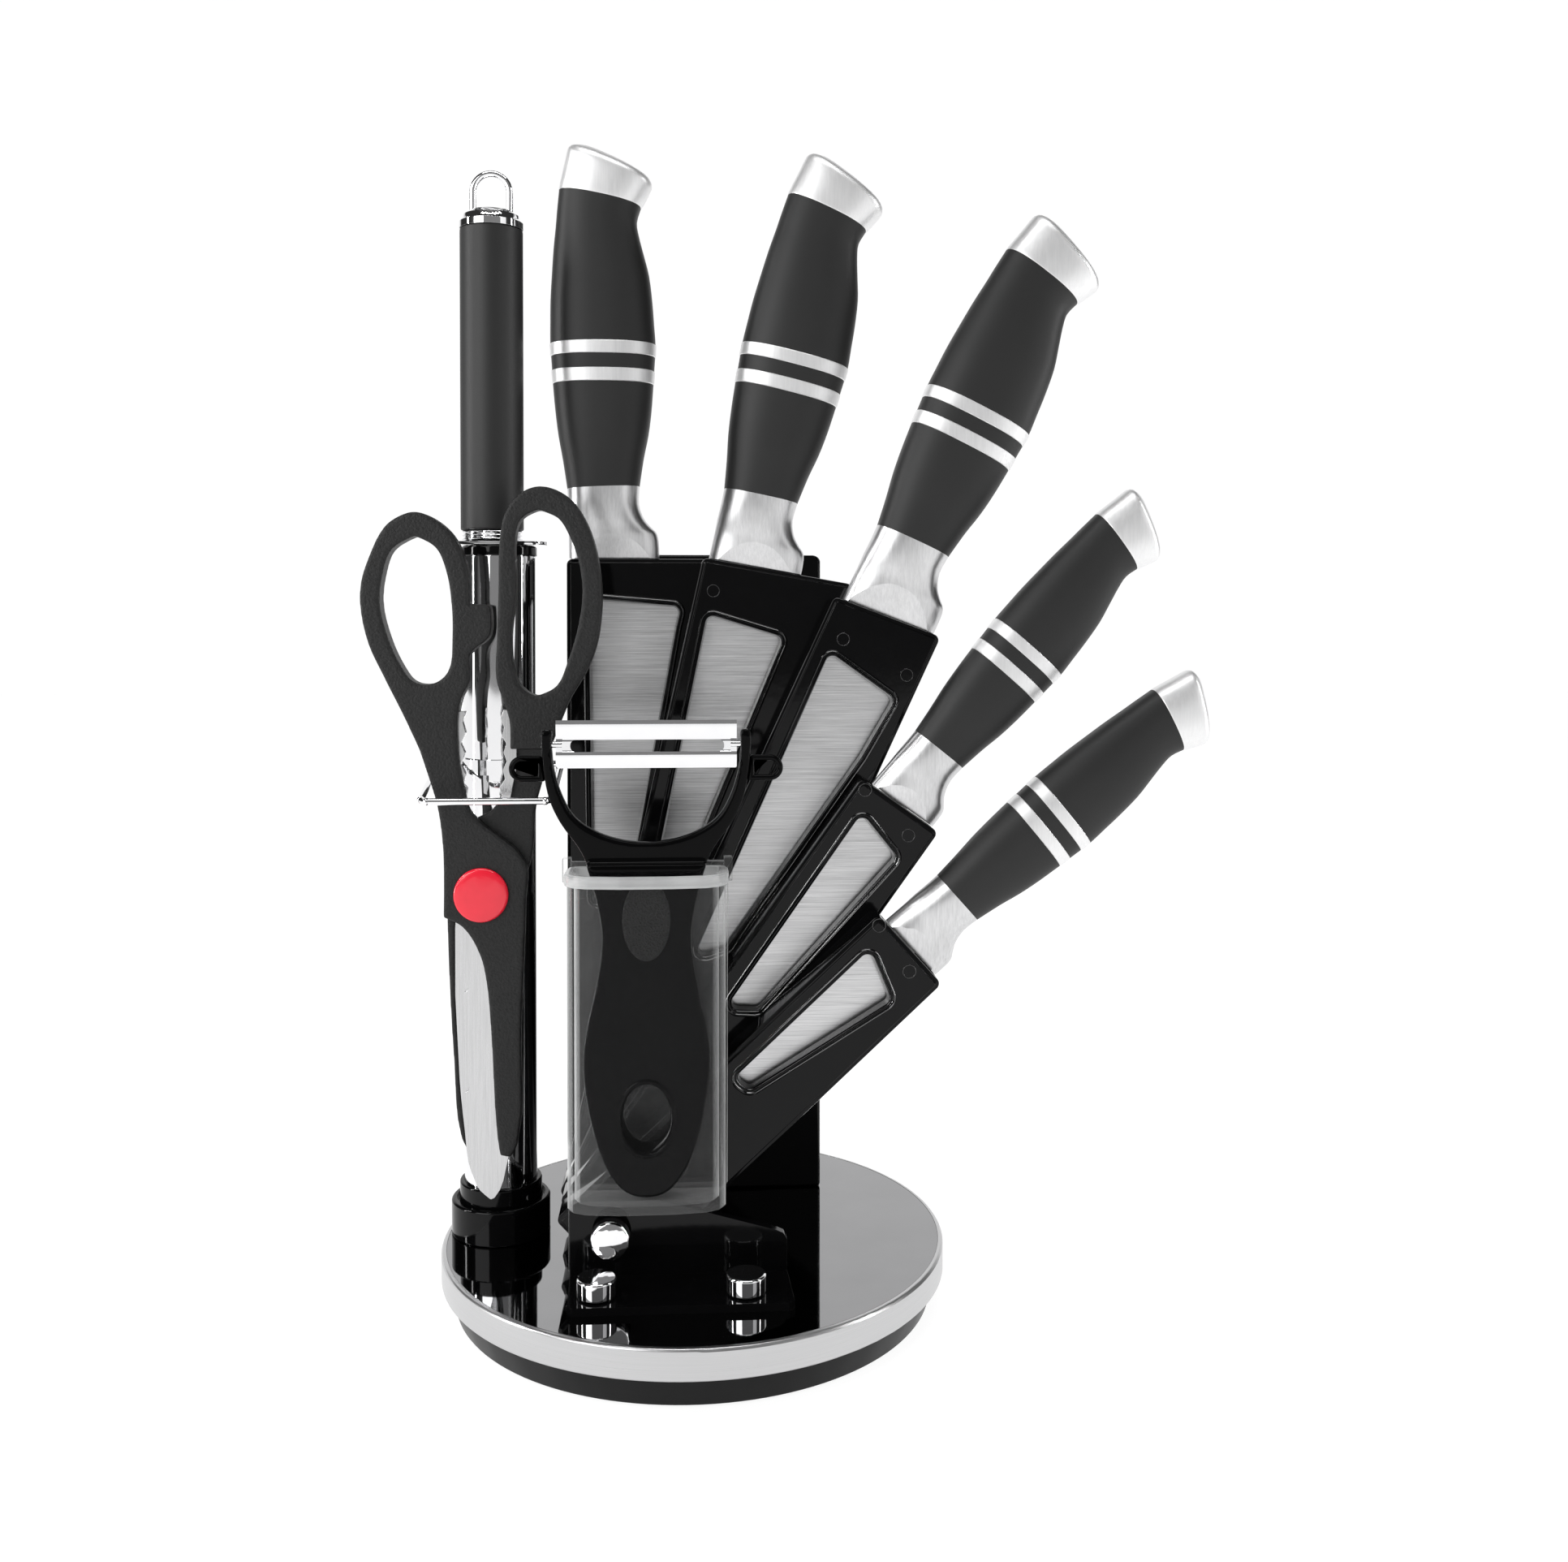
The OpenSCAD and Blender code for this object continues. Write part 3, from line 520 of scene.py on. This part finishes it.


# the last number is the share of painted reflection on faces seen edge on
clear_wall = clear_finish("clear_wall", 0.003, 0.9)
# the lip's finish is far more opaque than the walls: its pale colour paints the highlight along the lip
clear_lip_painted_highlight = clear_finish("clear_lip_painted_highlight", 0.42, 0.6)
clear_plate = clear_finish("clear_plate", 0.055, 0.6)
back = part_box("pocket")[1].y
for name, finish, in_front in (
    ("pocket_cup", clear_wall, True), ("pocket_plate", clear_plate, False),
):
    part = welded("pocket", name)
    bpy.ops.object.mode_set(mode="EDIT")
    bpy.ops.mesh.select_all(action="SELECT")
    bpy.ops.mesh.bisect(
        plane_co=(0, back - 2 * MM, 0), plane_no=(0, 1, 0), use_fill=False,
        clear_outer=in_front, clear_inner=not in_front)
    bpy.ops.object.mode_set(mode="OBJECT")
    broken_edges(part, 0.0005, 3)
    smooth(part)
    fitted(part, "turntable", "clear_plastic", finish, "pocket")

# The cup's lip is thickened: two rounded beads, one over the other, run round
# its mouth, moulded in one with it. Their clear plastic is made nearly half opaque, so its pale colour
# is a painted highlight along the lip.
mouth = [
    (x, back / MM - depth) for x, depth in (
        (-39, 2), (9.6, 2), (9.6, 16), (7.6, 19.8), (3.6, 21.8), (-6.7, 23), (-22.7, 23),
        (-33, 21.8), (-37, 19.8), (-39, 16))]
steps = (
    (0.2, 147.9), (0.8, 148.1), (1.05, 148.6), (0.8, 149.1), (0.6, 149.5), (0.8, 149.9),
    (1.1, 150.5), (0.8, 151.2), (0.2, 151.6), (-0.9, 151.6), (-2.0, 151.3), (-2.0, 148.2))
rings = [[Vector((x, y, z)) * MM for x, y in rounded(mouth, 3, grow, 4)] for grow, z in steps]
lip = ring_up("pocket_lip", rings, capped=False)
smooth(lip, 60)
fitted(lip, "turntable", "clear_plastic", clear_lip_painted_highlight)


# Knife blades: flat stainless steel, ground to the edge and brushed across
# the width, so that the strokes turn with each blade's lean.
for k in range(1, 6):
    steel = Finish(f"blade_steel_{k}", Metallic=1.0)
    turn = (0, math.radians(CASE[k][0]), 0)
    strokes = steel.wire.grain((35, 35, 2600), turn=turn, detail=5, rough=0.75)
    clouds = steel.wire.grain((30, 30, 60), turn=turn, detail=2)
    tone = strokes.node("ShaderNodeMapRange", inputs={0: strokes, 1: 0.3, 2: 0.7}) * 0.75 + clouds * 0.25
    steel.set(
        Base_Color=tone.colour((0.36, 0.36, 0.365), (0.92, 0.92, 0.925)),
        Roughness=strokes.band(0.25, 0.45),
        Normal=strokes.bump(0.25, 0.00008))
    trimmed(f"blade_{k}", f"knife_{k}", "blade_steel", steel, 0.0003)


# Knife handles: a soft-touch black grip over a round tang, between a brushed
# steel bolster, ground flat at both sides of the heel, and a cast steel cap.
# Two steel rings sit in the grip at its widest.
soft_black = Finish("soft_black", Specular_IOR_Level=0.5)
touch = soft_black.wire.grain((2600, 2600, 2600), detail=2)
patches = soft_black.wire.grain((70, 70, 70))
soft_black.set(
    Base_Color=patches.colour((0.008, 0.008, 0.008), (0.012, 0.012, 0.012)),
    Roughness=touch.band(0.42, 0.58),
    Normal=touch.bump(0.12, 0.00006))

# lean, middle of the handle at the mouth, shares of length, width and thickness
HANDLE = {
    1: (0, (-32.3, 251), 1, 1, 1),
    2: (13.8, (17.4, 248.1), 0.991, 1.02, 1),
    3: (26.7, (63.8, 233.9), 0.986, 1.04, 1),
    4: (41.3, (66.9, 168.8), 0.896, 0.776, 0.8),
    5: (50.8, (68.4, 124.5), 0.881, 0.745, 0.78)}
THICKNESS = 23 / 24  # the sections were drawn for a handle 24 thick, and it is 23
# sections: height and offset of the spine end, of the edge end, half thickness
BOLSTER = [
    (-4, -12.2, -4, 20, 6.8), (4, -12.3, 4, 19.9, 7.05), (9, -12.4, 9, 19.2, 7.6),
    (11.5, -12.5, 11.5, 17, 8.0), (14.6, -12.6, 14.6, 14.5, 8.6), (19.7, -12.6, 19.7, 12.7, 9.3),
    (25, -12.8, 26, 12.9, 9.8)]
GRIP = [
    (25, -12.8, 26, 12.9, 9.8), (35, -14.3, 36, 14.4, 10.4), (44, -15.9, 44.4, 16.1, 11),
    (53, -17, 53, 17.2, 11.4), (62.3, -17.8, 62.3, 17.9, 11.7), (69, -18.2, 69, 18.3, 11.85),
    (76.5, -18.7, 76.5, 18.7, 12), (84, -18.7, 84, 18.2, 12), (92, -18.6, 92, 17.6, 11.9),
    (101, -18.1, 101, 16.5, 11.5), (110, -17.5, 108.5, 14.6, 11), (118, -16.7, 115.5, 12.8, 10.5),
    (124, -16.2, 120.5, 12.1, 10.2), (131, -15.5, 125.4, 13.5, 10)]
RINGS = [
    [(62.3, -17.8, 62.3, 17.9, 11.7), (62.5, -18.05, 62.5, 18.15, 11.92),
     (66.8, -18.35, 66.8, 18.45, 12.05), (67, -18.1, 67, 18.2, 11.8)],
    [(72, -18.4, 72, 18.5, 11.9), (72.2, -18.7, 72.2, 18.75, 12.1),
     (76.3, -18.95, 76.3, 18.95, 12.15), (76.5, -18.7, 76.5, 18.7, 12)]]
CAP = [
    (131, -15.5, 125.4, 13.5, 10), (131.4, -15.6, 125.7, 13.75, 10.1), (134, -15.1, 127.3, 14.8, 10.2),
    (137, -14.4, 129.2, 15.8, 10.3), (140.5, -13.6, 131, 16.7, 10.3), (143.8, -12.9, 132.6, 17.4, 10.2),
    (145.3, -12.5, 133.8, 17.4, 9.9), (146.3, -11.9, 135, 16.9, 9.3), (146.9, -11, 136.2, 15.9, 8.4),
    (147.2, -9.4, 138, 13.4, 6.6), (147.3, -7.2, 140.2, 10, 4.2), (147.1, -5, 142, 7, 1.8)]


def eased(sections, between=3):
    """Sections drawn through the given ones on a smooth curve."""
    drawn = []
    for k in range(len(sections) - 1):
        a, b = sections[max(k - 1, 0)], sections[k]
        c, d = sections[k + 1], sections[min(k + 2, len(sections) - 1)]
        for j in range(between):
            t = j / between
            drawn.append([
                0.5 * (2 * q + (r - p) * t + (2 * p - 5 * q + 4 * r - s) * t * t
                       + (3 * q - p - 3 * r + s) * t ** 3)
                for p, q, r, s in zip(a, b, c, d)])
    return drawn + [list(sections[-1])]


def handle_rings(k, sections, count=44):
    """The outlines of a handle's sections, in knife k's own size and lean."""
    lean, middle, long, wide, thick = HANDLE[k]
    tilt = math.radians(lean)
    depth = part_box(f"sheath_{k}")[0].y / MM + 7

    def bow(c):
        return math.copysign(abs(c) ** 0.8, c)

    rings = []
    for h0, w0, h1, w1, half in sections:
        ring = []
        for j in range(count):
            turn = 2 * math.pi * (j + 0.5) / count
            share = (1 + bow(math.cos(turn))) / 2
            across = wide * (w0 + (w1 - w0) * share)
            up = long * (h0 + (h1 - h0) * share)
            ring.append(Vector((
                middle[0] + across * math.cos(tilt) + up * math.sin(tilt),
                depth + THICKNESS * thick * half * bow(math.sin(turn)),
                middle[1] - across * math.sin(tilt) + up * math.cos(tilt))) * MM)
        rings.append(ring)
    return rings


def sliced(piece, at, facing):
    """The piece is cut flat: what lies beyond the plane is ground away."""
    activate(piece)
    bpy.ops.object.mode_set(mode="EDIT")
    bpy.ops.mesh.select_all(action="SELECT")
    bpy.ops.mesh.bisect(plane_co=at, plane_no=facing, use_fill=True, clear_outer=True)
    bpy.ops.mesh.region_to_loop()
    bpy.ops.mesh.mark_sharp()
    bpy.ops.object.mode_set(mode="OBJECT")


for k in range(1, 6):
    lean, middle, long, wide, thick = HANDLE[k]
    tilt = math.radians(lean)
    slope = math.radians(CASE[k][0]) - math.atan2(CASE[k][3], CASE[k][2])
    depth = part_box(f"sheath_{k}")[0].y + 7 * MM
    root = Vector((middle[0] * MM, depth, middle[1] * MM))
    up = Vector((math.sin(tilt), 0, math.cos(tilt)))
    over = Vector((math.sin(slope), 0, math.cos(slope)))

    brushed = Finish(f"brushed_steel_{k}", Metallic=1.0)
    along = (0, tilt, 0)
    satin = brushed.wire.grain((1500, 1500, 90), turn=along, detail=4, rough=0.7)
    clouds = brushed.wire.grain((60, 60, 60), detail=3)
    brushed.set(
        Base_Color=(satin * 0.6 + clouds * 0.4).colour((0.34, 0.34, 0.345), (0.98, 0.98, 0.985)),
        Roughness=satin.band(0.24, 0.38),
        Normal=satin.bump(0.3, 0.00008))

    bolster = ring_up(f"bolster_{k}_steel", handle_rings(k, eased(BOLSTER)))
    sliced(bolster, mouths[k] + over * 0.0003, -over)
    for side in (-1, 1):
        face = Vector((0, side, 0)) * 10 * MM - up * 3 * MM
        sliced(bolster, root + Vector((0, side * 4.6 * thick * MM, 0)), face.normalized())
    smooth(bolster, 50)
    fitted(bolster, f"knife_{k}", "satin_steel", brushed, f"bolster_{k}")

    grip = ring_up(f"grip_{k}_soft", handle_rings(k, eased(GRIP)))
    smooth(grip, 50)
    fitted(grip, f"knife_{k}", "soft_black", soft_black, f"grip_{k}")

    cast = Finish(f"cast_steel_{k}", Metallic=0.82)
    satin = cast.wire.grain((1500, 1500, 90), turn=along, detail=4, rough=0.7)
    cast.set(
        Base_Color=satin.colour((0.80, 0.80, 0.805), (1.0, 1.0, 1.0)),
        Roughness=satin.band(0.36, 0.5),
        Normal=satin.bump(0.12, 0.00005))
    rings = joined([ring_up(f"rings_{k}", handle_rings(k, sections)) for sections in RINGS])
    smooth(rings, 30)
    fitted(rings, f"knife_{k}", "satin_steel", cast, f"bands_{k}")

    cap = ring_up(f"cap_{k}_steel", handle_rings(k, eased(CAP, 2)))
    smooth(cap, 50)
    fitted(cap, f"knife_{k}", "satin_steel", cast, f"cap_{k}")


# Scissors: grained black handles moulded round two ground steel halves, with
# a toothed steel insert let into each shank for cracking nuts, and a glossy
# red button over the rivet.
def moulded(node, body, slot, finish, grain=0.00045, passes=14):
    """A moulded plastic piece: every edge and corner of the shape runs over in a radius."""
    piece = welded(node, node + "_moulded", 0)
    activate(piece)
    skin = piece.modifiers.new("skin", "REMESH")
    skin.mode = "VOXEL"
    skin.voxel_size = grain
    bpy.ops.object.modifier_apply(modifier="skin")
    run = piece.modifiers.new("run", "SMOOTH")
    run.factor = 0.5
    run.iterations = passes
    bpy.ops.object.modifier_apply(modifier="run")
    bpy.ops.object.shade_smooth()
    fitted(piece, body, slot, finish, node)
    return piece


grained_black = Finish("grained_black", Specular_IOR_Level=0.32)
pebble = grained_black.wire.grain((1300, 1300, 1300), detail=2)
grained_black.set(
    Base_Color=pebble.colour((0.003, 0.003, 0.003), (0.022, 0.022, 0.022)),
    Roughness=pebble.band(0.38, 0.58),
    Normal=pebble.bump(0.8, 0.0003))
moulded("scissors_front_handle", "scissors", "textured_black", grained_black)
moulded("scissors_rear_handle", "scissors_rear", "textured_black", grained_black)
ground_steel = Finish("ground_steel", Metallic=1.0)
grind = ground_steel.wire.grain((2200, 40, 60), detail=4, rough=0.7)
ground_steel.set(
    Base_Color=grind.colour((0.46, 0.46, 0.465), (0.74, 0.74, 0.745)),
    Roughness=grind.band(0.18, 0.34))
trimmed("scissors_front_blade", "scissors", "blade_steel", ground_steel, 0.0002)
trimmed("scissors_rear_blade", "scissors_rear", "blade_steel", ground_steel, 0.0002)

# The inserts: name, body, the edge that is let into the shank, the toothed edge.
for name, body, root_side, teeth in (
    ("front_cracker", "scissors", [(-78.5, 170), (-80, 181), (-80, 190), (-78, 199.5)],
     [(-74.6, 199.5), (-75.6, 196.3), (-74.6, 192.6), (-76.2, 189.2), (-74.8, 185.9),
      (-76.2, 182.4), (-74.7, 179), (-75.3, 175.6), (-74.1, 174.2), (-74.6, 170.8), (-74.2, 169.8)]),
    ("rear_cracker", "scissors_rear", [(-60.4, 169.8), (-58.2, 181), (-58, 190), (-60, 200)],
     [(-62.3, 200), (-63.3, 197.4), (-62.2, 194.2), (-62.9, 191.4), (-61.5, 188.9), (-62.4, 186),
      (-61.4, 183.1), (-62.6, 180.2), (-61.9, 177.2), (-63.7, 174.6), (-63, 171.6), (-64.4, 169.8)]),
):
    outline = [Vector((x, 0, z)) for x, z in root_side + teeth]
    rings = [[(p + Vector((0, y, 0))) * MM for p in outline] for y in (-18.4, -15.6)]
    insert = ring_up(f"scissors_{name}", rings)
    broken_edges(insert, 0.0002, 2)
    smooth(insert)
    fitted(insert, body, "blade_steel", ground_steel)
red_gloss = Finish("red_gloss", Coat_Weight=0.5)
pigment = red_gloss.wire.grain((300, 300, 300))
red_gloss.set(
    Base_Color=pigment.colour((0.84, 0.008, 0.030), (0.94, 0.012, 0.040)),
    Roughness=pigment.band(0.15, 0.25))
trimmed("scissors_button", "scissors", "red_gloss", red_gloss, 0.0004, 3)


# Peeler: a gloss black handle and fork moulded in one, with a raised rim
# round the hanging hole and a stippled pad for the thumb. The blade is a
# pressed steel strip with a long slot that turns on two pins.
deep_black = Finish("deep_black", Specular_IOR_Level=0.09)
skin = deep_black.wire.grain((160, 160, 160), detail=2)
deep_black.set(
    Base_Color=skin.colour((0.0008, 0.0008, 0.0009), (0.0018, 0.0018, 0.002)),
    Roughness=deep_black.wire.grain((900, 900, 900), detail=4).band(0.04, 0.09),
    Normal=skin.bump(0.04, 0.0004))
moulded("peeler_body", "peeler", "gloss_black", deep_black, passes=26)
trimmed("peeler_eyes", "peeler", "gloss_black", deep_black, 0.0009, 4)
low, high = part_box("peeler_body")
centre = (low.x + high.x) / 2 / MM
front = low.y / MM


def oval(wide, tall, height, y, count=48):
    """An oval on the handle's middle line, at a depth behind the handle's face."""
    turns = [2 * math.pi * j / count for j in range(count)]
    return [
        Vector((centre + wide * math.cos(t), front + y, height + tall * math.sin(t))) * MM
        for t in turns]


steps = (
    (2.0, 0.15), (1.7, -0.3), (1.2, -0.5), (0.7, -0.4), (0.3, 0), (0, 0.9), (-0.3, 3), (-0.2, 5.2),
    (1.5, 5.2))
rim = ring_up("peeler_rim", [oval(7.6 + grow, 10.4 + grow, 76, y) for grow, y in steps], capped=False)
smooth(rim, 60)
fitted(rim, "peeler", "gloss_black", deep_black)
stipple = Finish("stipple_black", Specular_IOR_Level=0.25)
dots = stipple.wire.grain((1500, 1500, 1500), detail=1)
stipple.set(
    Base_Color=dots.colour((0.0012, 0.0012, 0.0012), (0.016, 0.016, 0.016)),
    Roughness=dots.band(0.3, 0.5),
    Normal=dots.bump(0.9, 0.0006))
steps = ((0, 0.6), (0, -0.05), (-0.3, -0.22), (-1, -0.28))
pad = ring_up("peeler_pad", [oval(7.4 + grow, 12.6 + grow, 137.3, y) for grow, y in steps])
smooth(pad, 60)
fitted(pad, "peeler", "textured_black", stipple)

low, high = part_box("peeler_blade")
middle = (low.y + high.y) / 2 / MM
# The strip's section: a lower bar, the slot's height, and an upper bar.
profile = []
for foot, top in ((183.6, 188.7), (188.7, 192.4), (192.4, 198.5)):
    for j in range(9):
        u = j / 4 - 1
        bulge = 0.5 if foot == 188.7 else 0.45 * (1 - u * u) + 0.5 * (1 + u)
        profile.append((middle + 0.35 - bulge, foot + (top - foot) * (u + 1) / 2))
profile = profile[:9] + profile[10:17] + profile[18:]
profile += [(y + 0.5, z) for y, z in profile[::-1]]
rings = [[Vector((centre + x, y, z)) * MM for y, z in profile] for x in (-27.9, 27.9)]
strip = ring_up("peeler_strip", rings)
slot = rounded([(-23.5, 188.7), (24, 188.7), (24, 192.4), (-23.5, 192.4)], 1.8)
rings = [[Vector((centre + p.x, middle + y, p.y)) * MM for p in slot] for y in (-4, 4)]
cut_by(strip, ring_up("slot", rings))
pins = [strip]
for side in (-1, 1):
    deselect()
    bpy.ops.mesh.primitive_cylinder_add(
        vertices=24, radius=MM, depth=4.6 * MM, rotation=(0, math.pi / 2, 0),
        location=((centre + side * 28.3) * MM, middle * MM, low.z + 7.4 * MM))
    bpy.ops.object.transform_apply(location=True, rotation=True, scale=True)
    pins.append(bpy.context.object)
strip = joined(pins)
smooth(strip, 40)
fitted(strip, "peeler_swivel", "chrome", chrome, "peeler_blade")


# Sharpening steel: a rod of hard steel, ribbed along its length, set in a
# round handle with the same soft black coat as the knives' grips.
trimmed("steel_handle", "steel", "soft_black", soft_black, 0.0006, 3)
ribbed = Finish("rod_steel", Metallic=1.0)
rib = ribbed.wire.grain((1600, 1600, 12))
ribbed.set(
    Base_Color=rib.colour((0.42, 0.42, 0.43), (0.7, 0.7, 0.71)),
    Roughness=rib.band(0.25, 0.4),
    Normal=rib.bump(0.5, 0.0002))
trimmed("steel_rod", "steel", "rod_steel", ribbed, 0.0003)


# The CAD's own box and the finished model's, side by side, for comparison.
size = {"cad": [list(c) for c in cad_box], "visual": [list(c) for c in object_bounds()]}
